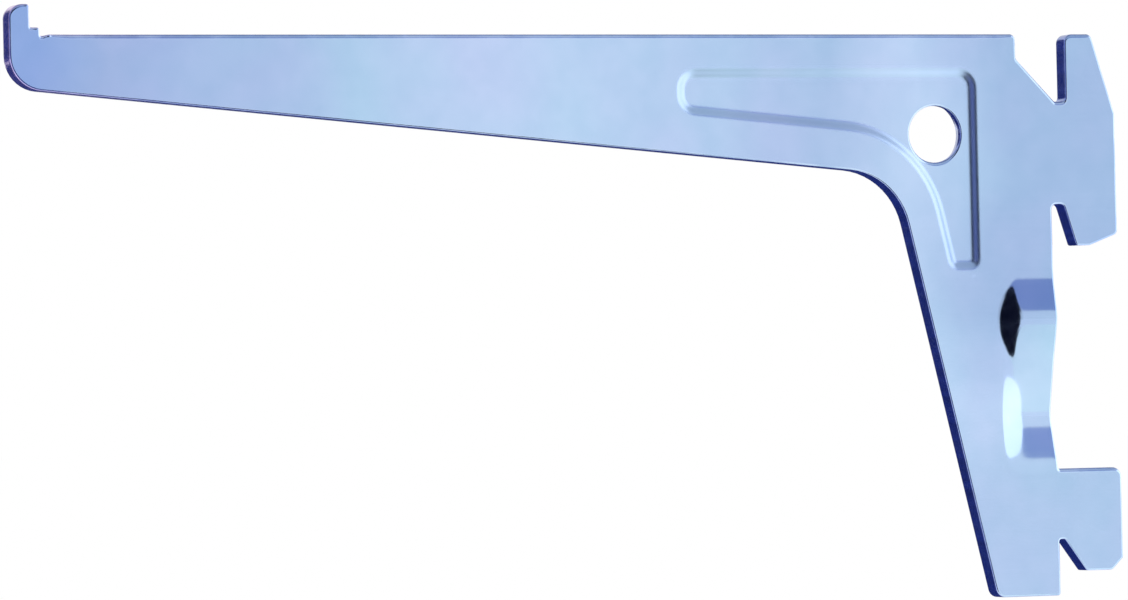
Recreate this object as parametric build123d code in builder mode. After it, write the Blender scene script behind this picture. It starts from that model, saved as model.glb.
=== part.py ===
"""Slotted shelf bracket: one stamped steel plate that hooks into a slotted wall rail.

X runs back towards the rail, Z is up and Y is the plate's thickness.
The origin is the throat of the upper hook, on the rail's front face and in the middle of the plate.
The panel is pressed away from -Y, the side that is looked at.
"""

import os
from math import atan2, degrees

from build123d import *

# Sheet and its place on the rail
plate_thickness = 3.0
hook_pitch = 50.0
reach = 162.0
shelf_height = 25.4

# Front nose that keeps the shelf from sliding off
nose_rise = 4.3
nose_width = 3.0
nose_tip_radius = 2.0
nose_heel_radius = 5.0
nose_step_width = 1.5
nose_step_height = 1.0
nose_relief_width = 1.4
nose_relief_depth = 0.3

# Tapered arm, leg, and the corner between them
arm_tip_depth = 7.5
corner_width = 25.3
corner_depth = 20.75
inner_radius = 10.5
foot_drop = 58.4
foot_width = 10.3
foot_radius = 1.5

# Upper hook: a finger above the entry notch and a beak below the throat
notch_width = 8.2
notch_depth = 10.1
notch_wall = 3.6
notch_floor = 1.9
finger_left = 2.8
finger_width = 4.3
shoulder_drop = 11.9
hook_reach = 10.8
throat_width = 2.0
beak_drop = 6.2
beak_left = 4.0
beak_flat = 2.2
beak_rise = 1.7

# Lower tab with its slanted slot
tab_rise = 10.5
tab_reach = 10.5
tab_drop = 4.8
tab_bevel = 1.8
slot_width = 0.9
slot_end_flat = 0.1
slot_mouth = 4.4

# Corner roundings left by the press tool
blunt_radius = 1.3
corner_radius = 0.8
small_radius = 0.45

# Stiffening panel, measured to the outer edge of its sloping wall
panel_length = 48.1
panel_top_margin = 5.15
panel_rear_margin = 12.0
panel_arm_margin = 5.9
panel_leg_margin = 5.05
panel_foot_drop = 9.5
panel_depth = 0.7
panel_wall_width = 1.05
panel_end_radius = 2.8
panel_foot_radius = 1.5
panel_elbow_radius = 16.3

# Fixing hole through the panel
hole_diameter = 9.2
hole_setback = 18.6
hole_height = 10.6

# Wave in the rear edge that wedges the plate upright in the rail's slot
wave_start_drop = 10.7
wave_crest_drop = 16.9
wave_middle_drop = 24.2
wave_trough_drop = 31.7
wave_end_drop = 38.9
wave_height = 1.7
crest_root_reach = 6.3
trough_root_reach = 8.5
wave_tip_reach = 9.4
wave_wall_width = 3.8
wave_bend_radius = 4.0
wave_draw_in = 0.3


def crossing(start, way, other, other_way):
    """Where the line through start along way meets the line through other along other_way."""
    distance = (other - start).cross(other_way).Z / way.cross(other_way).Z
    return start + way * distance


def press(form, towards):
    """Push metal along Y: the form stands proud of one face and is sunk into the other.

    The form starts at Y = 0, and towards is +1 or -1.
    """
    face_shift = towards * plate_thickness / 2
    add(form.moved(Location((0, face_shift, 0))))
    add(form.moved(Location((0, -face_shift, 0))), mode=Mode.SUBTRACT)


# Corners that both the outline and the panel are drawn from, as (x, z) in the plate's plane
arm_heel = Vector(-reach, shelf_height - arm_tip_depth)
inner_corner = Vector(-corner_width, shelf_height - corner_depth)
foot_corner = Vector(-foot_width, -foot_drop)
arm_way = (inner_corner - arm_heel).normalized()
leg_way = (foot_corner - inner_corner).normalized()

nose_inner = nose_width - reach
step_end = nose_inner + nose_step_width
relief_end = step_end + nose_relief_width
notch_left = finger_left - notch_width
notch_bottom = shelf_height - notch_depth
finger_right = finger_left + finger_width
tab_top = tab_rise - hook_pitch
tab_bottom = -hook_pitch - tab_drop
slot_end_radius = (slot_width - slot_end_flat) / 2

outline_corners = [
    ((-reach, shelf_height + nose_rise), nose_tip_radius),
    ((nose_inner, shelf_height + nose_rise), small_radius),
    ((nose_inner, shelf_height + nose_step_height), small_radius),
    ((step_end, shelf_height + nose_step_height), small_radius),
    ((step_end, shelf_height - nose_relief_depth), small_radius),
    ((relief_end, shelf_height), small_radius),
    ((notch_left, shelf_height), corner_radius),
    ((notch_left, shelf_height - notch_wall), corner_radius),
    ((finger_left - notch_floor, notch_bottom), corner_radius),
    ((finger_left, notch_bottom), corner_radius),
    ((finger_left, shelf_height), blunt_radius),
    ((finger_right, shelf_height), corner_radius),
    ((hook_reach, shelf_height - shoulder_drop), blunt_radius),
    ((hook_reach, beak_rise - beak_drop), corner_radius),
    ((beak_left + beak_flat, -beak_drop), corner_radius),
    ((beak_left, -beak_drop), small_radius),
    ((throat_width, 0), corner_radius),
    ((0, 0), corner_radius),
    ((0, tab_top), small_radius),
    ((tab_reach, tab_top), blunt_radius),
    ((tab_reach, tab_bottom + tab_bevel), small_radius),
    ((tab_reach - tab_bevel, tab_bottom), corner_radius),
    ((slot_mouth, tab_bottom), small_radius),
    ((slot_width, -hook_pitch), slot_end_radius),
    ((0, -hook_pitch), slot_end_radius),
    ((0, -foot_drop), small_radius),
    (foot_corner, foot_radius),
    (inner_corner, inner_radius),
    (arm_heel, nose_heel_radius),
]

panel_top = shelf_height - panel_top_margin
panel_left = -panel_rear_margin - panel_length
upright = Vector(0, 1)
level = Vector(1, 0)
panel_elbow = crossing(
    inner_corner + arm_way.rotate(Axis.Z, 90) * panel_arm_margin,
    arm_way,
    inner_corner + leg_way.rotate(Axis.Z, 90) * panel_leg_margin,
    leg_way,
)
panel_corners = [
    ((panel_left, panel_top), panel_end_radius),
    ((-panel_rear_margin, panel_top), panel_end_radius),
    ((-panel_rear_margin, -panel_foot_drop), panel_foot_radius),
    (crossing(panel_elbow, leg_way, Vector(0, -panel_foot_drop), level), panel_foot_radius),
    (panel_elbow, panel_elbow_radius),
    (crossing(panel_elbow, arm_way, Vector(panel_left, 0), upright), panel_end_radius),
]


def rounded_outline(corners):
    """A closed face in the plate's plane from pairs of a corner and its radius."""
    points = [corner for corner, radius in corners]
    radii = [radius for corner, radius in corners]
    with BuildSketch(Plane.XZ) as sketch:
        with BuildLine():
            FilletPolyline(*points, radius=radii, close=True)
        make_face()
    return sketch.sketch


def draft(wall_width, depth):
    """Taper, in degrees from the press's way, of a wall that is wall_width wide and depth deep."""
    return degrees(atan2(wall_width, depth))


# The panel's form: a shallow prism whose walls slope inwards
panel_form = extrude(
    rounded_outline(panel_corners),
    amount=panel_depth,
    dir=(0, 1, 0),
    taper=draft(panel_wall_width, panel_depth),
)


def wave_form(start_drop, peak_drop, end_drop, root_reach, towards):
    """One bend of the wave: a ridge along X whose inner end is cut to a sloping wall, bowed in plan."""
    beyond_edge = 2 * wave_wall_width
    with BuildPart() as bend:
        with BuildSketch(Plane.YZ.offset(-wave_tip_reach)):
            with BuildLine():
                FilletPolyline(
                    (0, -start_drop),
                    (towards * wave_height, -peak_drop),
                    (0, -end_drop),
                    radius=wave_bend_radius,
                )
                Line((0, -end_drop), (0, -start_drop))
            make_face()
        extrude(amount=wave_tip_reach)

        with BuildSketch(Plane.XZ):
            with BuildLine():
                ThreePointArc(
                    (-root_reach, -start_drop),
                    (-wave_tip_reach, -peak_drop),
                    (-root_reach, -end_drop),
                )
                Polyline(
                    (-root_reach, -end_drop),
                    (beyond_edge, -end_drop),
                    (beyond_edge, -start_drop),
                    (-root_reach, -start_drop),
                )
            make_face()
        extrude(
            amount=wave_height,
            dir=(0, towards, 0),
            taper=draft(wave_wall_width, wave_height),
            mode=Mode.INTERSECT,
        )
    return bend.part


crest_form = wave_form(
    wave_start_drop, wave_crest_drop, wave_middle_drop, crest_root_reach, -1
)
trough_form = wave_form(
    wave_middle_drop, wave_trough_drop, wave_end_drop, trough_root_reach, 1
)

with BuildPart() as bracket_plate:
    # Blank
    extrude(rounded_outline(outline_corners), amount=plate_thickness / 2, both=True)

    # Pressed forms
    press(panel_form, 1)
    press(crest_form, -1)
    press(trough_form, 1)

    # The bent strip is longer than the straight one was, so its edge draws in
    with BuildSketch(Plane.XZ):
        with BuildLine():
            SagittaArc((0, -wave_start_drop), (0, -wave_end_drop), -wave_draw_in)
            Line((0, -wave_end_drop), (0, -wave_start_drop))
        make_face()
    extrude(amount=2 * plate_thickness, both=True, mode=Mode.SUBTRACT)

    # Fixing hole
    with BuildSketch(Plane.XZ):
        with Locations((-hole_setback, hole_height)):
            Circle(hole_diameter / 2)
    extrude(amount=2 * plate_thickness, both=True, mode=Mode.SUBTRACT)

bracket_plate.part.label = "bracket_plate"

os.makedirs("parts", exist_ok=True)
export_step(bracket_plate.part, "parts/bracket_plate.step")
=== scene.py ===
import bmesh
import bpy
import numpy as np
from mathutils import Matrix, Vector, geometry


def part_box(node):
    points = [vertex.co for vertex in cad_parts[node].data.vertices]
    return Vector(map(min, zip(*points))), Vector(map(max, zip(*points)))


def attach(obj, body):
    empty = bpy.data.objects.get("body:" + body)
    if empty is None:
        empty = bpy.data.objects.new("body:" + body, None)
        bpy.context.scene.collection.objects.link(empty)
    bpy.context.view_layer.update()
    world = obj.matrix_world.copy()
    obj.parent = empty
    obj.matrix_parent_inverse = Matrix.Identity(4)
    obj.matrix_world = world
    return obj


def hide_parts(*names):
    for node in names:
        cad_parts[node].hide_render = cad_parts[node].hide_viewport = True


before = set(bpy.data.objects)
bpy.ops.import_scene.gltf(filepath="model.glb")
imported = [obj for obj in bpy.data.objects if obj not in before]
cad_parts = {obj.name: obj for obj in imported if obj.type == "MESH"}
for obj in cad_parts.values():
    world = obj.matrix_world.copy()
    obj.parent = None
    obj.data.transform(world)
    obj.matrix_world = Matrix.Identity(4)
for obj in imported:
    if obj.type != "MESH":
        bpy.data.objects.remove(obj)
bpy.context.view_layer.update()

# %% [markdown]
# # A slotted shelf bracket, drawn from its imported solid
#
# The real bracket is one piece of 3 mm steel sheet. A press tool cuts its outline, pushes a shallow
# stiffening panel into it, bends a wave into its rear edge, and then it is zinc plated.
# A sheet like that is a height field: for every place (x, z) inside the outline there is one number,
# how far the tool has pushed the metal along Y. The front and the back skin both follow that number,
# one sheet thickness apart. So the whole piece comes from an outline, a height map and a rounded rim.

MM = 0.001
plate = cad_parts["bracket_plate"]
low_corner, high_corner = (np.array(corner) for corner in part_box("bracket_plate"))
sheet_thickness = 3.0 * MM
print("plate box in mm", (low_corner / MM).round(1), (high_corner / MM).round(1))

# %% [markdown]
# ## The camera
#
# The picture looks at the bracket slightly from its nose end, from about a metre away, and nearly level.
# The view was worked out from things whose real shape is known: the two upright rear edges are parallel,
# the shelf edge is square to them, the hooks are 50 mm apart and the sheet is 3 mm thick.

# %% Camera
image_width_px = 1128
sensor_width_mm = 36.0
view_yaw = np.radians(22.0)
view_pitch = np.radians(-1.0)
view_roll = np.radians(-1.312)
view_distance = 1.0
view_scale_px = 6.887 / MM
view_centre = np.array([-78.26, 0.0, -13.14]) * MM


def camera_axes(yaw, pitch, roll):
    """Right, up and forward of a camera turned by yaw about Z, tipped by pitch, and then rolled."""
    forward = np.array([np.sin(yaw) * np.cos(pitch), np.cos(yaw) * np.cos(pitch), -np.sin(pitch)])
    level_right = np.array([np.cos(yaw), -np.sin(yaw), 0.0])
    level_up = np.cross(level_right, forward)
    right = level_right * np.cos(roll) + level_up * np.sin(roll)
    up = level_up * np.cos(roll) - level_right * np.sin(roll)
    return right, up, forward


def make_camera():
    """A camera at view_distance from view_centre, with the lens that gives view_scale_px there."""
    right, up, forward = camera_axes(view_yaw, view_pitch, view_roll)
    turn = Matrix(np.stack([right, up, -forward], axis=1).tolist())
    data = bpy.data.cameras.new("photo_camera")
    data.sensor_width = sensor_width_mm
    data.lens = sensor_width_mm * view_scale_px * view_distance / image_width_px
    camera = bpy.data.objects.new("photo_camera", data)
    camera.matrix_world = Matrix.Translation(view_centre - forward * view_distance) @ turn.to_4x4()
    bpy.context.scene.collection.objects.link(camera)
    bpy.context.scene.camera = camera
    print("lens", round(data.lens, 1), "mm, camera at", camera.location[:])


make_camera()

# %% [markdown]
# ## Reading the solid
#
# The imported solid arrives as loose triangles. Points that fall together are merged first, and then every
# triangle is sorted by the way it faces: front skin, back skin or sheared wall. The rim of the plate is
# wherever a front triangle has no front neighbour, and that holds for the outline and for the hole alike.

# %% The solid as arrays
wall_limit = 0.2
least_length = 1e-15


def solid_arrays(node):
    """Merged corners (n, 3) and triangles (m, 3) of a node, each triangle in its own winding."""
    mesh = node.data
    mesh.calc_loop_triangles()
    corners = np.empty(len(mesh.vertices) * 3)
    triangles = np.empty(len(mesh.loop_triangles) * 3, dtype=np.int64)
    mesh.vertices.foreach_get("co", corners)
    mesh.loop_triangles.foreach_get("vertices", triangles)
    merged, index = np.unique((corners.reshape(-1, 3) / MM).round(3), axis=0, return_inverse=True)
    triangles = index.reshape(-1)[triangles].reshape(-1, 3)
    whole = (np.diff(np.sort(triangles, axis=1), axis=1) > 0).all(axis=1)
    return merged * MM, triangles[whole]


def triangle_normals(corners, triangles):
    """Unit normals: the cross product of two sides, divided by its own length."""
    a, b, c = (corners[triangles[:, k]] for k in range(3))
    cross = np.cross(b - a, c - a)
    return cross / np.maximum(np.linalg.norm(cross, axis=1, keepdims=True), least_length)


solid_points, solid_triangles = solid_arrays(plate)
facing = triangle_normals(solid_points, solid_triangles)[:, 1]
front_skin = solid_triangles[facing < -wall_limit]
print("triangles", len(solid_triangles), "of which front", len(front_skin))


# %% The rim as directed edges
def rim_edges(triangles):
    """Sides used by one triangle only, as (from, to), with the metal on their left seen from the front."""
    sides = np.concatenate([triangles[:, [0, 1]], triangles[:, [1, 2]], triangles[:, [2, 0]]])
    _, first, count = np.unique(np.sort(sides, axis=1), axis=0, return_index=True, return_counts=True)
    return sides[first[count == 1]]


def loop_areas(points, edges):
    """For each edge, the area its loop encloses: the sum of x0 * z1 - x1 * z0 over the loop, halved.

    It is positive for the outline, which runs anticlockwise, and negative for the rim of a hole.
    """
    jump = np.arange(len(points))
    jump[edges[:, 0]] = edges[:, 1]
    label = np.arange(len(points))
    for _ in range(int(np.log2(len(points))) + 1):
        label = np.minimum(label, label[jump])
        jump = jump[jump]
    start, end = points[edges[:, 0]], points[edges[:, 1]]
    cross = start[:, 0] * end[:, 1] - end[:, 0] * start[:, 1]
    return np.bincount(label[edges[:, 0]], cross / 2, len(points))[label[edges[:, 0]]]


def divided(points, edges, longest):
    """The same edges cut into equal pieces no longer than longest: new points and edges."""
    length = np.linalg.norm(points[edges[:, 1]] - points[edges[:, 0]], axis=1)
    pieces = np.maximum(np.ceil(length / longest).astype(int), 1)
    first_piece = np.cumsum(pieces) - pieces
    owner = np.repeat(np.arange(len(edges)), pieces)
    step = np.arange(len(owner)) - first_piece[owner]
    share = (step / pieces[owner])[:, None]
    start, end = points[edges[owner, 0]], points[edges[owner, 1]]
    new_points = start * (1 - share) + end * share
    # A piece ends where the next one starts: inside an edge, or at the first piece of the edge that follows
    edge_from = np.full(edges.max() + 1, -1)
    edge_from[edges[:, 0]] = first_piece
    is_last = step == pieces[owner] - 1
    to = np.where(is_last, edge_from[edges[owner, 1]], np.arange(len(owner)) + 1)
    return new_points, np.stack([np.arange(len(owner)), to], axis=1)


rim_piece = 0.7 * MM
least_opening = 1.0 * MM ** 2
outline_xz = solid_points[:, [0, 2]]
rim_sides = rim_edges(front_skin)
rim_sides = rim_sides[np.abs(loop_areas(outline_xz, rim_sides)) > least_opening]
rim, rim_pairs = divided(outline_xz, rim_sides, rim_piece)
at_hole = np.zeros(len(rim), dtype=bool)
at_hole[rim_pairs[:, 0]] = loop_areas(rim, rim_pairs) < 0
print("rim points", len(rim), "of which at the hole", at_hole.sum())

# %% [markdown]
# ## The height map
#
# The pushed-in metal is read off the solid on a fine grid. A press never leaves a knife-sharp crease,
# because sheet bends round the tool's edge, so the map is blurred: a little at the panel, and more at the
# wave, most of all along its bends. Grid places beyond the plate hold no height, and the blur is weighted
# by where there is metal, so it doesn't sag towards the rim.
#
# The solid cuts the trough's inner end to a plain slope. On the real sheet the trough drops off the flat
# metal over a sharp tool edge and runs out softly below it, so there the map is a product: the trough's
# depth at the rear edge, times how far it has come down at x.

# %% Height map
map_step = 0.15 * MM
panel_blur = (0.27 * MM, 0.27 * MM)
wave_blur = (0.4 * MM, 0.85 * MM)
panel_to_wave = (-11.9 * MM, -11.2 * MM)
profile_place = -2.5 * MM
trough_rim, trough_floor = -8.5 * MM, -4.5 * MM
sliver_area = 1e-3 * MM ** 2
side_margin = 0.01 * MM
least_lift = 1e-5
places_at_once = 3000
map_border = 2 * MM
bell_reach = 3
least_metal = 1e-3


def batches(places):
    """Runs of place numbers, short enough to compare each place in a run with every edge or triangle."""
    return np.array_split(np.arange(len(places)), max(len(places) // places_at_once, 1))


def raised_triangles(points, triangles):
    """Front triangles that the press has moved away from the flat front face."""
    lift = points[triangles][:, :, 1] + sheet_thickness / 2
    return triangles[np.abs(lift).max(axis=1) > least_lift]


def heights_at(places, points, triangles):
    """Lift at each (x, z) place, by barycentric weights of the triangle it lies in, or 0 on flat metal.

    A weight times the triangle's height over that side is the distance to the side. A place may lie
    side_margin outside, so that the slivers left out leave no gaps.
    """
    a, b, c = (points[triangles[:, k]] for k in range(3))
    ab, ac = (b - a)[:, [0, 2]], (c - a)[:, [0, 2]]
    area = ab[:, 0] * ac[:, 1] - ab[:, 1] * ac[:, 0]
    real = np.abs(area) > sliver_area
    a, b, c, ab, ac, area = (values[real] for values in (a, b, c, ab, ac, area))
    lift = [corner[:, 1] + sheet_thickness / 2 for corner in (a, b, c)]
    reach_u = np.abs(area) / np.linalg.norm(ac - ab, axis=1)
    reach_v = np.abs(area) / np.linalg.norm(ac, axis=1)
    reach_w = np.abs(area) / np.linalg.norm(ab, axis=1)
    heights = np.zeros(len(places))
    for part in batches(places):
        off = places[part][:, None, :] - a[:, [0, 2]][None]
        v = (off[..., 0] * ac[:, 1] - off[..., 1] * ac[:, 0]) / area
        w = (ab[:, 0] * off[..., 1] - ab[:, 1] * off[..., 0]) / area
        inside = np.minimum(np.minimum(v * reach_v, w * reach_w), (1 - v - w) * reach_u) > -side_margin
        height = lift[0] * (1 - v - w) + lift[1] * v + lift[2] * w
        hit = inside.any(axis=1)
        heights[part[hit]] = height[hit, inside[hit].argmax(axis=1)]
    return heights


def inside_rim(places, points, pairs):
    """True where a ray towards +x crosses the rim an odd number of times."""
    start, end = points[pairs[:, 0]], points[pairs[:, 1]]
    result = np.zeros(len(places), dtype=bool)
    for part in batches(places):
        z = places[part][:, 1, None]
        spans = (start[:, 1] > z) != (end[:, 1] > z)
        rise = np.where(end[:, 1] == start[:, 1], 1.0, end[:, 1] - start[:, 1])
        x = start[:, 0] + (z - start[:, 1]) * (end[:, 0] - start[:, 0]) / rise
        result[part] = (spans & (x > places[part][:, 0, None])).sum(axis=1) % 2 == 1
    return result


def bell_curve(sigma):
    """Weights of a bell curve over cells, exp(-d * d / (2 * sigma * sigma)), that add up to one."""
    reach = int(bell_reach * sigma) + 1
    weights = np.exp(-0.5 * (np.arange(-reach, reach + 1) / sigma) ** 2)
    return weights / weights.sum()


def blurred(grid, sigmas):
    """A grid blurred by bell curves of so many cells, first along x and then along z."""
    along_x, along_z = (bell_curve(sigma) for sigma in sigmas)
    padded = np.pad(grid, [(len(along_x) // 2,) * 2, (len(along_z) // 2,) * 2])
    rows = sum(weight * padded[k:k + grid.shape[0], :] for k, weight in enumerate(along_x))
    return sum(weight * rows[:, k:k + grid.shape[1]] for k, weight in enumerate(along_z))


pressed = raised_triangles(solid_points, front_skin)
pressed_points = solid_points[np.unique(pressed)][:, [0, 2]]
map_low = pressed_points.min(axis=0) - map_border
map_high = pressed_points.max(axis=0) + map_border
map_x, map_z = (np.arange(map_low[k], map_high[k], map_step) for k in range(2))
map_places = np.stack(np.meshgrid(map_x, map_z, indexing="ij"), axis=-1).reshape(-1, 2)
map_metal = inside_rim(map_places, rim, rim_pairs).reshape(len(map_x), len(map_z)).astype(float)
map_height = heights_at(map_places, solid_points, pressed).reshape(map_metal.shape)


def softened(heights, blur):
    """Raw heights blurred where there is metal, and divided by how much metal the blur took in."""
    cells = np.array(blur) / map_step
    return blurred(heights * map_metal, cells) / np.maximum(blurred(map_metal, cells), least_metal)


def share_of(values, low, high):
    """How far each value has come from low to high: 0 before low and 1 beyond high."""
    return np.clip((values - low) / (high - low), 0, 1)


def run_out_wave():
    """The map with the trough run out: its depth near the rear edge, times 1 - (1 - t) ** 2.

    Here t goes from 0 to 1 over the slope from the trough's rim to its floor.
    """
    at_edge = map_height[np.abs(map_x - profile_place).argmin()][None, :]
    share = 1 - (1 - share_of(map_x, trough_rim, trough_floor)[:, None]) ** 2
    return np.where(at_edge > 0, at_edge * share, map_height)


wave_share = share_of(map_x, *panel_to_wave)[:, None]
height_map = (
    softened(map_height, panel_blur) * (1 - wave_share)
    + softened(run_out_wave(), wave_blur) * wave_share
)
map_range = (np.array([height_map.min(), height_map.max()]) / MM).round(2)
print("height map", height_map.shape, "in mm from", map_range[0], "to", map_range[1])


def lift_at(places):
    """The blurred height at each (x, z), blended from the four grid cells round it, and 0 off the map."""
    cell = (places - map_low) / map_step
    size = np.array(height_map.shape) - 2
    on_map = ((cell >= 0) & (cell <= size)).all(axis=1)
    cell = np.clip(cell, 0, size)
    corner = cell.astype(int)
    u, v = (cell - corner).T
    i, j = corner.T
    blend = (
        height_map[i, j] * (1 - u) * (1 - v)
        + height_map[i + 1, j] * u * (1 - v)
        + height_map[i, j + 1] * (1 - u) * v
        + height_map[i + 1, j + 1] * u * v
    )
    return np.where(on_map, blend, 0.0)


# %% [markdown]
# ## The rounded rim
#
# Shearing drags the front edge of the sheet down into a soft roll, and leaves the back edge almost sharp.
# Each rim point moves inwards along the direction that halves its corner. The roll is a quarter ellipse:
# at angle t the edge stands in by width times (1 - cos t) and below the face by depth times (1 - sin t).
# The fixing hole is pierced, not sheared: the punch drags the front skin into the hole and makes it
# tighter there, and behind that the metal breaks out into a wider cone.

# %% Rim rings
roll_width, roll_depth = 0.72 * MM, 0.45 * MM
burr_width, burr_depth = 0.16 * MM, 0.12 * MM
roll_angles = np.radians([0.0, 20.0, 40.0, 58.0, 74.0, 90.0])
roll_rounds = 40
roll_shrink = 0.85
roll_easing = 0.01
least_kept = 0.25
least_clearance = 0.93
sharpest_corner = 0.5
least_square = 1e-18
unworn_share = 0.42
hole_drag = 0.38 * MM
hole_break = 0.22 * MM


def inward_steps(points, pairs):
    """At each rim point, the step that moves both its edges inwards by one unit."""
    along = points[pairs[:, 1]] - points[pairs[:, 0]]
    along /= np.linalg.norm(along, axis=1, keepdims=True)
    left = np.stack([-along[:, 1], along[:, 0]], axis=1)
    total = np.zeros_like(points)
    np.add.at(total, pairs[:, 0], left)
    np.add.at(total, pairs[:, 1], left)
    half = total / 2
    return half / np.maximum((half ** 2).sum(axis=1, keepdims=True), sharpest_corner)


rim_inward = inward_steps(rim, rim_pairs)
front_rim = rim - rim_inward * hole_drag * at_hole[:, None]
back_rim = rim + rim_inward * hole_break * at_hole[:, None]


def rim_distance(places, points, pairs):
    """Distance from each place to the nearest point of the rim's edges."""
    start, way = points[pairs[:, 0]], points[pairs[:, 1]] - points[pairs[:, 0]]
    squared = np.maximum((way ** 2).sum(axis=1), least_square)
    nearest = np.empty(len(places))
    for part in batches(places):
        off = places[part][:, None] - start
        share = np.clip((off * way).sum(axis=2) / squared, 0, 1)
        nearest[part] = np.sqrt(((off - way * share[..., None]) ** 2).sum(axis=2)).min(axis=1)
    return nearest


def worn_share():
    """Share of the roll's width: unworn_share, and up to 1 by the square of how far an edge faces up.

    The shelf wears the edge it lies on, so edges that face up have the widest roll.
    """
    upward = -rim_inward[:, 1] / np.linalg.norm(rim_inward, axis=1)
    return unworn_share + (1 - unworn_share) * np.clip(upward, 0, 1) ** 2


def room_for(width):
    """How much of a roll's width fits at each rim point.

    The share shrinks where the moved point comes nearer to the rim than its step, and where the piece
    of ring between two moved points would turn round or shrink to nothing. It changes gently along the rim.
    """
    start, end = rim_pairs.T
    previous, following = np.empty(len(rim), dtype=int), np.empty(len(rim), dtype=int)
    previous[end] = start
    following[start] = end
    pieces = rim[end] - rim[start]
    fits = worn_share()
    for _ in range(roll_rounds):
        step = rim_inward * width * fits[:, None]
        moved = rim + step
        kept = ((moved[end] - moved[start]) * pieces).sum(axis=1) / (pieces ** 2).sum(axis=1)
        tight = rim_distance(moved, rim, rim_pairs) < least_clearance * np.linalg.norm(step, axis=1)
        tight[start[kept < least_kept]] = True
        tight[end[kept < least_kept]] = True
        fits = np.where(tight, fits * roll_shrink, fits)
        fits = np.minimum(fits, (fits[previous] + fits + fits[following]) / 3 + roll_easing)
    print("roll width that fits: least", fits.min().round(2), "mean", fits.mean().round(2))
    return fits


def rim_rings(base, width, depth):
    """Rings from the wall at base to the face: (k, n, 2) places, and (k, n) depths below the face."""
    fits = room_for(width)
    inset = width * (1 - np.cos(roll_angles))[:, None] * fits
    below = depth * (1 - np.sin(roll_angles))[:, None] * fits
    return base[None] + rim_inward[None] * inset[..., None], below


front_rings, front_below = rim_rings(front_rim, roll_width, roll_depth)
back_rings, back_below = rim_rings(back_rim, burr_width, burr_depth)

# %% [markdown]
# ## Filling the faces
#
# Inside its last ring each face is filled with triangles between scattered points: wide apart where the
# sheet is flat, and close together wherever the height map curves.

# %% Points inside the faces
wide_gap, fine_gap = 1.1 * MM, 0.28 * MM
wide_reach, fine_reach = 3 * fine_gap, 2 * fine_gap
curve_limit = 0.004 * MM
helper_gap = 0.3 * MM
fill_tolerance = 1e-5


def hex_places(low, high, gap):
    """Places on a grid of equal triangles: every second row is shifted by half a gap."""
    xs = np.arange(low[0], high[0], gap)
    zs = np.arange(low[1], high[1], gap * np.sqrt(3) / 2)
    x, z = np.meshgrid(xs, zs, indexing="ij")
    x = x + gap / 2 * (np.arange(len(zs)) % 2)
    return np.stack([x, z], axis=-1).reshape(-1, 2)


def is_curved(places, reach):
    """True where the slope changes within reach: h(p + r) + h(p - r) - 2 h(p) is over curve_limit."""
    curve = np.zeros(len(places))
    for way in ((reach, 0), (0, reach), (reach, reach), (reach, -reach)):
        change = lift_at(places + way) + lift_at(places - way) - 2 * lift_at(places)
        curve = np.maximum(curve, np.abs(change))
    return curve > curve_limit


def clear_inside(places, ring, gap):
    """The places that lie inside a ring and more than half a gap away from it."""
    inside = inside_rim(places, ring, rim_pairs)
    return places[inside & (rim_distance(places, ring, rim_pairs) > gap / 2)]


def face_places(last_ring):
    """Places inside a face's last ring: a wide grid, and a fine one where the sheet curves."""
    wide = hex_places(low_corner[[0, 2]], high_corner[[0, 2]], wide_gap)
    fine = hex_places(map_low, map_high, fine_gap)
    wide = wide[~is_curved(wide, wide_reach)]
    fine = fine[is_curved(fine, fine_reach)]
    return np.concatenate([clear_inside(wide, last_ring, wide_gap), clear_inside(fine, last_ring, fine_gap)])


def filled_face(last_ring):
    """Places (ring first) and triangles that fill a face, turned so that they face the front.

    Helper places just outside the ring keep the triangles along a straight run from being slivers.
    """
    places = np.concatenate([last_ring, face_places(last_ring)])
    helpers = rim - rim_inward * helper_gap
    helpers = helpers[~inside_rim(helpers, rim, rim_pairs)]
    flat = [Vector(place) for place in (np.concatenate([places, helpers]) / MM).tolist()]
    _, _, triangles, *_ = geometry.delaunay_2d_cdt(flat, rim_pairs.tolist(), [], 0, fill_tolerance, False)
    triangles = np.array(triangles)
    triangles = triangles[(triangles < len(places)).all(axis=1)]
    triangles = triangles[inside_rim(places[triangles].mean(axis=1), last_ring, rim_pairs)]
    a, b, c = (places[triangles[:, k]] for k in range(3))
    turn = (b - a)[:, 0] * (c - a)[:, 1] - (b - a)[:, 1] * (c - a)[:, 0]
    return places, np.where(turn[:, None] < 0, triangles[:, ::-1], triangles)


front_places, front_triangles = filled_face(front_rings[-1])
back_places, back_triangles = filled_face(back_rings[-1])
print("front face", len(front_places), "points", len(front_triangles), "triangles")

# %% [markdown]
# ## Putting the sheet together
#
# Front rings, the sheared wall and the back rings are bands of four-sided faces between rings that all
# have the same number of points. Three point attributes tell the finish where the metal is cut and painted
# dark as painted shade, where the rolled edge is worn and lightened partly as a painted highlight, and where
# the panel's wall is drawn thin over the tool. On the faces the normals are worked out from the height map's
# slope, so the flat metal mirrors like flat metal right up to the roll.

# %% Sheet mesh
# cut_shares carry the cut wall's painted shade and its dullness onto the rolls, ring by ring.
cut_shares = (1.0, 0.75, 0.4, 0.1, 0.0)
# Each front ring's share of the light edge tint, which is partly wear and partly a painted highlight.
rub_and_highlight_shares = (0.2, 0.6, 1.0, 1.0, 0.7)
wall_shares = ((-0.4, 0.0), (0.0, 0.25), (0.4, 0.7))
slope_step = 0.15 * MM
full_draw = 0.12


def slopes_at(places):
    """The height map's slopes h_x and h_z: the change over two small steps, divided by their length."""
    step_x, step_z = np.array([slope_step, 0]), np.array([0, slope_step])
    slope_x = (lift_at(places + step_x) - lift_at(places - step_x)) / (2 * slope_step)
    slope_z = (lift_at(places + step_z) - lift_at(places - step_z)) / (2 * slope_step)
    return slope_x, slope_z


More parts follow.
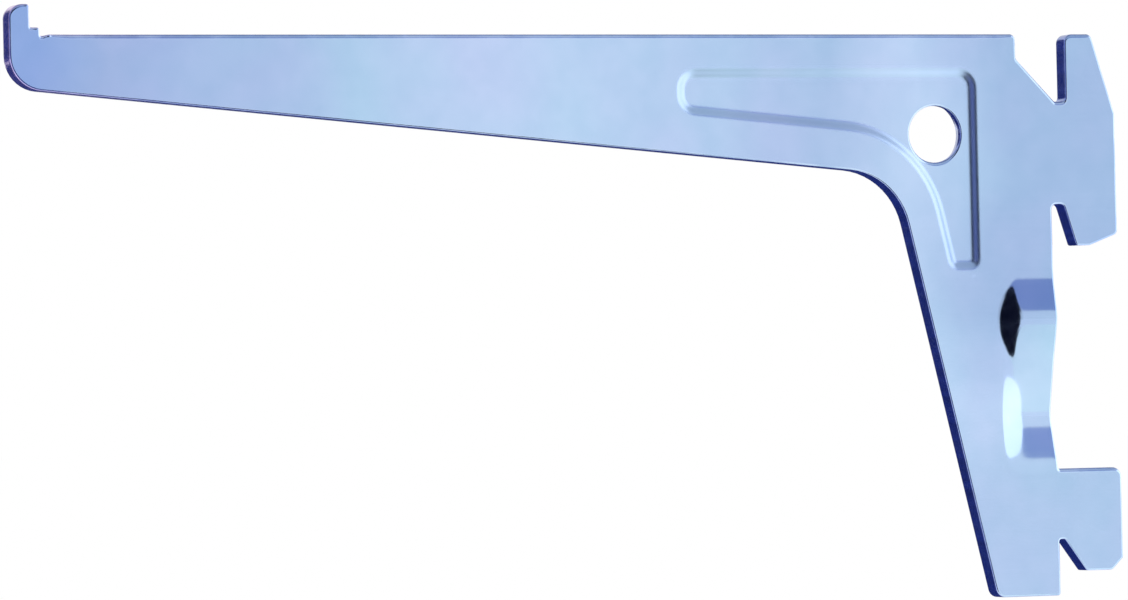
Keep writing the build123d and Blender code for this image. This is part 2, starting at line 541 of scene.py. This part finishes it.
def drawn_share(places):
    """How far the panel's wall has been drawn out: its slope as a share of full_draw, and 0 at the wave."""
    at_panel = 1 - share_of(places[:, 0], *panel_to_wave)
    return np.clip(np.hypot(*slopes_at(places)) / full_draw, 0, 1) * at_panel


def face_normals(places, side):
    """Unit normals of a face: (h_x, -1, h_z) in front, where side is -1, and the opposite behind."""
    slope_x, slope_z = slopes_at(places)
    normals = np.stack([slope_x, -np.ones(len(places)), slope_z], axis=1) * -side
    return normals / np.linalg.norm(normals, axis=1, keepdims=True)


def sheet_layers():
    """Layers of (places, depths along Y, cut share, rub share): front, wall and back.

    The front's and the back's go from the rim inwards, and the wall's from the front to the back.
    """
    half = sheet_thickness / 2
    front = [(ring, lift_at(ring) - half + below, cut, rub_highlight)
             for ring, below, cut, rub_highlight in zip(front_rings[:-1], front_below, cut_shares, rub_and_highlight_shares)]
    front.append((front_places, lift_at(front_places) - half, 0.0, 0.0))
    wall = [(front_rim * (1 - spread) + back_rim * spread, lift_at(rim) + share * half, 1.0, 0.0)
            for share, spread in wall_shares]
    back = [(ring, lift_at(ring) + half - below, cut, 0.0)
            for ring, below, cut in zip(back_rings[:-1], back_below, cut_shares)]
    back.append((back_places, lift_at(back_places) + half, 0.0, 0.0))
    return front, wall, back


def bands(starts):
    """Four-sided faces between neighbouring rings, given where each ring's points start in the list."""
    a, b = rim_pairs.T
    return [np.stack([outer + a, outer + b, inner + b, inner + a], axis=1)
            for outer, inner in zip(starts[:-1], starts[1:])]


def sheet_faces(front, wall, back):
    """All faces, turned outwards, from where the points of each layer start in the list."""
    outer = np.concatenate(bands(front))
    turned = np.concatenate(bands(back) + bands([front[0], *wall, back[0]]))[:, ::-1]
    filled = np.concatenate([front_triangles + front[-1], back_triangles[:, ::-1] + back[-1]])
    return outer.tolist() + turned.tolist() + filled.tolist()


def set_normals(mesh, front_start, back_start):
    """The mesh's own normals at the rim, and the height map's on the two faces."""
    normals = np.empty(len(mesh.vertices) * 3)
    mesh.vertices.foreach_get("normal", normals)
    normals = normals.reshape(-1, 3)
    normals[front_start:front_start + len(front_places)] = face_normals(front_places, -1)
    normals[back_start:back_start + len(back_places)] = face_normals(back_places, 1)
    mesh.normals_split_custom_set_from_vertices(normals.tolist())


def sheet_mesh():
    """One closed mesh: places lifted by the height map, half a thickness to the front and to the back."""
    front, wall, back = sheet_layers()
    places, depths, cuts, rub_highlight_layers = zip(*front, *wall, *back)
    sizes = [len(layer) for layer in places]
    starts = (np.cumsum(sizes) - sizes).tolist()
    wall_start, back_start = len(front), len(front) + len(wall)
    flat = np.concatenate(places)
    points = np.stack([flat[:, 0], np.concatenate(depths), flat[:, 1]], axis=1)
    faces = sheet_faces(starts[:wall_start], starts[wall_start:back_start], starts[back_start:])
    mesh = bpy.data.meshes.new("bracket_sheet")
    mesh.from_pydata(points.tolist(), [], faces)
    shares = (
        ("cut_metal", np.repeat(cuts, sizes)),
        ("rub_and_highlight_edge", np.repeat(rub_highlight_layers, sizes)),
        ("drawn_metal", drawn_share(flat)),
    )
    for name, values in shares:
        attribute = mesh.attributes.new(name, "FLOAT", "POINT")
        attribute.data.foreach_set("value", values)
    mesh.polygons.foreach_set("use_smooth", np.ones(len(mesh.polygons), dtype=bool))
    mesh.validate()
    mesh.update()
    set_normals(mesh, starts[wall_start - 1], starts[-1])
    print("sheet mesh", len(mesh.vertices), "points", len(mesh.polygons), "faces")
    return mesh


bracket = bpy.data.objects.new("bracket_sheet", sheet_mesh())
bpy.context.scene.collection.objects.link(bracket)
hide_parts("bracket_plate")
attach(bracket, "root")
closed = bmesh.new()
closed.from_mesh(bracket.data)
print("open edges", sum(not edge.is_manifold for edge in closed.edges))
print("volume in mm3", round(closed.calc_volume() / MM ** 3))
closed.free()

# %% [markdown]
# ## The finish
#
# Bright zinc plating is a metal with a cool, blue tint from its passivation bath. It isn't even: the
# bath leaves green and violet clouds and its tint drifts along the plate, and the nose end is painted
# darker as painted shade; the rolled sheet keeps faint lines along its length, tumbling leaves small pits,
# and handling wears patches of the rolled edge bright, a light tint that is partly a painted highlight.
# The panel's wall is duller, because it was drawn over the tool. The sheared wall is duller, because the
# shear tears the metal and the plating is thin there, and it is painted darker as painted shade.

# %% Helpers for a node material
class Finish:
    """A node material under construction: each method adds one node and gives back its output."""

    def __init__(self, name):
        self.material = bpy.data.materials.new(name)
        self.material.use_nodes = True
        self.tree = self.material.node_tree
        self.shader = self.tree.nodes["Principled BSDF"]
        self.place = self.tree.nodes.new("ShaderNodeTexCoord").outputs["Object"]

    def feed(self, socket, value):
        """Link an output into a socket, or set a plain number or colour on it."""
        if isinstance(value, bpy.types.NodeSocket):
            self.tree.links.new(value, socket)
        elif isinstance(value, tuple) and len(value) == 3 and socket.type == "RGBA":
            socket.default_value = (*value, 1)
        else:
            socket.default_value = value

    def noise(self, scale, stretch=(1, 1, 1), detail=3.0):
        """Cloudy noise, about scale clouds to the metre, drawn out where stretch is small."""
        mapping = self.tree.nodes.new("ShaderNodeMapping")
        self.feed(mapping.inputs["Vector"], self.place)
        self.feed(mapping.inputs["Scale"], stretch)
        texture = self.tree.nodes.new("ShaderNodeTexNoise")
        self.feed(texture.inputs["Vector"], mapping.outputs["Vector"])
        self.feed(texture.inputs["Scale"], scale)
        self.feed(texture.inputs["Detail"], detail)
        return texture.outputs["Fac"]

    def ramp(self, value, stops):
        """A colour ramp from (position, colour) pairs."""
        node = self.tree.nodes.new("ShaderNodeValToRGB")
        elements = node.color_ramp.elements
        for _ in stops[2:]:
            elements.new(0.5)
        for element, (position, colour) in zip(elements, stops):
            element.position = position
            element.color = (*colour, 1)
        self.feed(node.inputs["Fac"], value)
        return node.outputs["Color"]

    def span(self, value, low, high, to_low=0.0, to_high=1.0):
        """Carry low..high of a value to to_low..to_high, and hold it beyond."""
        node = self.tree.nodes.new("ShaderNodeMapRange")
        for socket, number in zip(("Value", "From Min", "From Max", "To Min", "To Max"),
                                  (value, low, high, to_low, to_high)):
            self.feed(node.inputs[socket], number)
        return node.outputs["Result"]

    def mix(self, share, first, second, blend="MIX"):
        """Two colours mixed by share, or combined by another blend."""
        node = self.tree.nodes.new("ShaderNodeMix")
        node.data_type = "RGBA"
        node.blend_type = blend
        self.feed(node.inputs["Factor"], share)
        self.feed(node.inputs["A"], first)
        self.feed(node.inputs["B"], second)
        return node.outputs["Result"]

    def sum(self, *values):
        """Values added up."""
        total = values[0]
        for value in values[1:]:
            node = self.tree.nodes.new("ShaderNodeMath")
            self.feed(node.inputs[0], total)
            self.feed(node.inputs[1], value)
            total = node.outputs["Value"]
        return total

    def product(self, first, second):
        """Two values multiplied."""
        node = self.tree.nodes.new("ShaderNodeMath")
        node.operation = "MULTIPLY"
        self.feed(node.inputs[0], first)
        self.feed(node.inputs[1], second)
        return node.outputs["Value"]

    def attribute(self, name):
        """A number that the mesh carries at each point."""
        node = self.tree.nodes.new("ShaderNodeAttribute")
        node.attribute_name = name
        return node.outputs["Fac"]

    def along(self, axis):
        """One of the object's own coordinates, in metres."""
        split = self.tree.nodes.new("ShaderNodeSeparateXYZ")
        self.feed(split.inputs["Vector"], self.place)
        return split.outputs[axis]

    def bump(self, height, distance, strength, below=None):
        """A normal tipped by a height, on top of another bump if there is one."""
        node = self.tree.nodes.new("ShaderNodeBump")
        self.feed(node.inputs["Height"], height)
        self.feed(node.inputs["Distance"], distance)
        self.feed(node.inputs["Strength"], strength)
        if below:
            self.feed(node.inputs["Normal"], below)
        return node.outputs["Normal"]


# %% Zinc finish
# Tint along the plate from the nose end (0) to the rear (1): the darker stops at the nose end are painted
# shade.
plate_tints_with_nose_shade = [
    (0.00, (0.229, 0.326, 0.611)),
    (0.07, (0.289, 0.378, 0.611)),
    (0.13, (0.307, 0.398, 0.636)),
    (0.22, (0.320, 0.437, 0.650)),
    (0.31, (0.362, 0.496, 0.688)),
    (0.47, (0.410, 0.524, 0.730)),
    (0.62, (0.368, 0.490, 0.697)),
    (0.71, (0.330, 0.447, 0.655)),
    (0.77, (0.403, 0.517, 0.725)),
    (0.86, (0.418, 0.551, 0.755)),
    (1.00, (0.375, 0.503, 0.710)),
]
hook_tint = (0.298, 0.417, 0.628)
# A light tint on the worn rolled edge, partly wear and partly a painted highlight.
rub_and_highlight_tint = (0.540, 0.660, 0.850)
foot_tint = (0.354, 0.472, 0.680)
# Painted shade on the cut walls: violet at the nose end, navy from nose_cut_share on.
nose_cut_shade_tint = (0.56, 0.42, 0.70)
cut_shade_tint = (0.24, 0.30, 0.58)
rail_zone = (-24 * MM, -8 * MM)
hook_zone = (-26 * MM, -12 * MM)
foot_zone = (-26 * MM, -44 * MM)
nose_cut_share = 0.15
zone_wander = 6 * MM
# Clouds to the metre in each noise
wander_clouds, tint_clouds, smear_clouds, rub_highlight_clouds = 28.0, 60.0, 70.0, 180.0
mottle_clouds, tear_clouds, line_clouds, pit_clouds = 240.0, 900.0, 1100.0, 1500.0
noise_middle = (0.3, 0.7)
cloud_tints = ((0.95, 1.015, 0.99), (1.04, 0.985, 1.01))
mottle_tints = ((0.97, 0.975, 0.985), (1.03, 1.025, 1.015))
tear_tints = ((0.75, 0.75, 0.75), (1.25, 1.25, 1.25))
rub_highlight_middle, most_rub_highlight = (0.42, 0.62), 0.7
through_sheet, along_sheet = (1, 0.15, 1), (0.03, 1, 1)
line_dullness, smear_dullness = (0.04, 0.07), (0.05, 0.10)
rubbed_dullness, cut_dullness, drawn_dullness = 0.06, 0.10, 0.18
line_height, line_strength = 0.003 * MM, 0.4
pit_height, pit_strength = 0.004 * MM, 0.5


def noisy_tint(zinc, tint, noise, tints):
    """A tint times a noise's own tint, which runs from the first of two to the second."""
    return zinc.mix(1.0, tint, zinc.ramp(noise, list(zip(noise_middle, tints))), "MULTIPLY")


def plate_tint_with_shade(zinc, length, wander):
    """The tint along the plate, from the bath and painted darker towards the nose end as painted shade, with
    other tints at the foot and the hooks, and clouds.
    """
    near_rail = zinc.span(zinc.sum(zinc.along("X"), wander), *rail_zone)
    near_hook = zinc.span(zinc.sum(zinc.along("Z"), wander), *hook_zone)
    near_foot = zinc.span(zinc.sum(zinc.along("Z"), wander), *foot_zone)
    tint_along_with_shade = zinc.mix(near_foot, zinc.ramp(length, plate_tints_with_nose_shade), foot_tint)
    shaded = zinc.mix(zinc.product(near_rail, near_hook), tint_along_with_shade, hook_tint)
    clouded = noisy_tint(zinc, shaded, zinc.noise(tint_clouds, detail=4.0), cloud_tints)
    return noisy_tint(zinc, clouded, zinc.noise(mottle_clouds), mottle_tints)


def cut_metal_shade_tint(zinc, length):
    """Painted shade on the torn metal: its own tint at the nose and another from nose_cut_share of the
    length on, with tears.
    """
    tint_along_with_shade = zinc.ramp(length, [(0.0, nose_cut_shade_tint), (nose_cut_share, cut_shade_tint)])
    return noisy_tint(zinc, tint_along_with_shade, zinc.noise(tear_clouds, through_sheet, detail=4.0), tear_tints)


def zinc_dullness(zinc, lines, rub_and_highlight, cut_share):
    """Rolling lines plus smears, and more where the rolled edge is worn, and where the metal is cut or
    drawn.
    """
    smears = zinc.noise(smear_clouds, detail=4.0)
    return zinc.sum(
        zinc.span(lines, *noise_middle, *line_dullness),
        zinc.span(smears, *noise_middle, *smear_dullness),
        zinc.span(rub_and_highlight, 0.0, 1.0, 0.0, rubbed_dullness),
        zinc.span(cut_share, 0.0, 1.0, 0.0, cut_dullness),
        zinc.span(zinc.attribute("drawn_metal"), 0.0, 1.0, 0.0, drawn_dullness),
    )


def zinc_finish():
    """Metal whose tint drifts along the plate and in clouds, with rolling lines, pits and worn edges;
    painted shade darkens the nose end and the cut walls, and a painted highlight partly lightens the worn
    edges.
    """
    zinc = Finish("plated_steel")
    wander = zinc.span(zinc.noise(wander_clouds), *noise_middle, -zone_wander, zone_wander)
    length = zinc.span(zinc.sum(zinc.along("X"), wander), low_corner[0], high_corner[0])
    patches = zinc.span(zinc.noise(rub_highlight_clouds), *rub_highlight_middle, 0.0, most_rub_highlight)
    rub_and_highlight = zinc.product(zinc.attribute("rub_and_highlight_edge"), patches)
    face = zinc.mix(rub_and_highlight, plate_tint_with_shade(zinc, length, wander), rub_and_highlight_tint)
    cut_share = zinc.attribute("cut_metal")
    lines = zinc.noise(line_clouds, along_sheet)
    rolled = zinc.bump(lines, line_height, line_strength)
    pitted = zinc.bump(zinc.noise(pit_clouds, detail=2.0), pit_height, pit_strength, rolled)
    zinc.feed(zinc.shader.inputs["Metallic"], 1.0)
    zinc.feed(zinc.shader.inputs["Base Color"], zinc.mix(cut_share, face, cut_metal_shade_tint(zinc, length)))
    zinc.feed(zinc.shader.inputs["Roughness"], zinc_dullness(zinc, lines, rub_and_highlight, cut_share))
    zinc.feed(zinc.shader.inputs["Normal"], pitted)
    return zinc.material


bracket.data.materials.append(zinc_finish())

# %% [markdown]
# ## Floor, light and cards
#
# Metal has hardly any look of its own: it shows what stands round it. The room is plain white. Then, as
# for any photograph of bright metal, cards are set up that only the reflections see, and cloths do the
# same on the floor. Black ones draw the hollow beside the wave's crest, navy ones the panel's right wall,
# and dusk ones, behind on the left, the cut side of each edge. Cards overhead tint the rolled upper edge
# and the slopes that face up. The flat metal mirrors the pale card in front, and the white boxes and the
# bright cloths light the slopes that face them.
# Each card is placed by the way it lies in, seen from the bracket: a heading in degrees from -Y towards
# +X, and a height in degrees.

# %% Studio
floor_drop = 35 * MM
floor_reach = 14.0
floor_tint = 0.93
floor_dullness = 0.9
mirrored_glow = 0.36
floor_height = low_corner[2] - floor_drop
cloth_gap = 1 * MM
square = ((-1, -1), (1, -1), (1, 1), (-1, 1))


def stage_card(name, corners, material):
    """A flat four-sided face with the given material, linked into the scene."""
    mesh = bpy.data.meshes.new(name)
    mesh.from_pydata([tuple(corner) for corner in corners], [], [(0, 1, 2, 3)])
    mesh.materials.append(material)
    card = bpy.data.objects.new(name, mesh)
    bpy.context.scene.collection.objects.link(card)
    return card


def floor_finish():
    """Dull pale floor. Looked at, it glows by what it lacks of white, and mirrored by mirrored_glow."""
    floor = Finish("pale_floor")
    floor.feed(floor.shader.inputs["Base Color"], (floor_tint, floor_tint, floor_tint))
    floor.feed(floor.shader.inputs["Roughness"], floor_dullness)
    floor.feed(floor.shader.inputs["Specular IOR Level"], 0.0)
    floor.feed(floor.shader.inputs["Emission Color"], (1.0, 1.0, 1.0))
    path = floor.tree.nodes.new("ShaderNodeLightPath")
    looked_at = floor.sum(path.outputs["Is Camera Ray"], path.outputs["Is Transmission Ray"])
    glow = floor.span(looked_at, 0.0, 1.0, 0.0, 1 - floor_tint)
    mirrored = floor.span(path.outputs["Is Glossy Ray"], 0.0, 1.0, 0.0, mirrored_glow)
    floor.feed(floor.shader.inputs["Emission Strength"], floor.sum(glow, mirrored))
    return floor.material


def hide_from_camera(card):
    """Leave a card to reflections alone."""
    card.visible_camera = False
    card.visible_diffuse = False
    card.visible_shadow = False
    card.visible_transmission = False


def glowing(name, tint):
    """An even glow, the same from every side."""
    glow = Finish(name)
    glow.feed(glow.shader.inputs["Base Color"], (0.0, 0.0, 0.0))
    glow.feed(glow.shader.inputs["Specular IOR Level"], 0.0)
    glow.feed(glow.shader.inputs["Emission Color"], tint)
    glow.feed(glow.shader.inputs["Emission Strength"], 1.0)
    return glow.material


def reflection_card(name, heading, height, half_width, half_height, tint, distance):
    """A card centred at distance in the given way and square to it. Half sizes are angles, in degrees."""
    heading, height = np.radians([heading, height])
    way = np.array([np.sin(heading) * np.cos(height), -np.cos(heading) * np.cos(height), np.sin(height)])
    across = np.array([np.cos(heading), np.sin(heading), 0.0])
    up = np.cross(way, across)
    half_across = across * distance * np.tan(np.radians(half_width))
    half_up = up * distance * np.tan(np.radians(half_height))
    centre = view_centre + way * distance
    corners = [centre + a * half_across + b * half_up for a, b in square]
    hide_from_camera(stage_card(name, corners, glowing(name, tint)))


def reflection_cloth(name, headings, distances, tint):
    """A cloth on the floor between two headings and two distances, both counted from below the origin."""
    first, second = (np.array([np.sin(heading), -np.cos(heading)]) for heading in np.radians(headings))
    near, far = distances
    places = (first * near, second * near, second * far, first * far)
    corners = [(*place, floor_height + cloth_gap) for place in places]
    hide_from_camera(stage_card(name, corners, glowing(name, tint)))


floor_corners = [(a * floor_reach, b * floor_reach, floor_height) for a, b in square]
stage_card("floor", floor_corners, floor_finish())

black = (0.003, 0.003, 0.012)
navy = (0.20, 0.23, 0.60)
dusk = (0.03, 0.05, 0.22)
side_blue = (0.30, 0.38, 0.62)
upper_blue = (0.47, 0.54, 0.85)
ceiling_grey = (0.76, 0.81, 0.89)
roof_grey = (0.42, 0.47, 0.58)
pale = (1.24, 1.24, 1.24)
near_pale = (1.34, 1.41, 1.30)
bright = (1.95, 1.95, 1.95)
brightest = (2.10, 2.10, 2.10)
reflection_card("black_card", -20, 4, 13, 13, black, 1.6)
reflection_card("black_upper_card", -13, 29, 14, 14, black, 1.6)
reflection_cloth("black_far_cloth", (-34, -7), (0.22, 1.6), black)
reflection_cloth("black_near_cloth", (-30, 0), (0.09, 0.30), black)
reflection_card("navy_card", -51, 18, 17, 24, navy, 1.6)
reflection_cloth("navy_cloth", (-68, -34), (0.10, 1.6), navy)
reflection_card("side_card", -92, 10, 26, 24, side_blue, 1.8)
reflection_card("left_card", -156, 6, 17, 18, dusk, 2.0)
reflection_cloth("left_cloth", (-206, -126), (0.02, 2.0), dusk)
reflection_card("upper_card", 22, 27.5, 19, 7.5, upper_blue, 1.8)
reflection_card("ceiling_card", 25, 55, 42, 19, ceiling_grey, 1.8)
reflection_card("roof_card", 22, 95, 45, 21, roof_grey, 1.8)
reflection_card("pale_card", 22, 9.5, 17, 10, pale, 1.8)
reflection_card("soft_box", 63, 0, 23, 34, bright, 1.7)
reflection_card("fill_box", 106, 0, 20, 34, brightest, 1.7)
reflection_cloth("pale_cloth", (40, 86), (0.03, 1.7), bright)
reflection_cloth("near_cloth", (0, 40), (0.03, 0.30), near_pale)

world = bpy.data.worlds.new("white_room")
world.use_nodes = True
world.node_tree.nodes["Background"].inputs["Color"].default_value = (1, 1, 1, 1)
world.node_tree.nodes["Background"].inputs["Strength"].default_value = 1.0
bpy.context.scene.world = world
bpy.context.scene.view_settings.view_transform = "Standard"
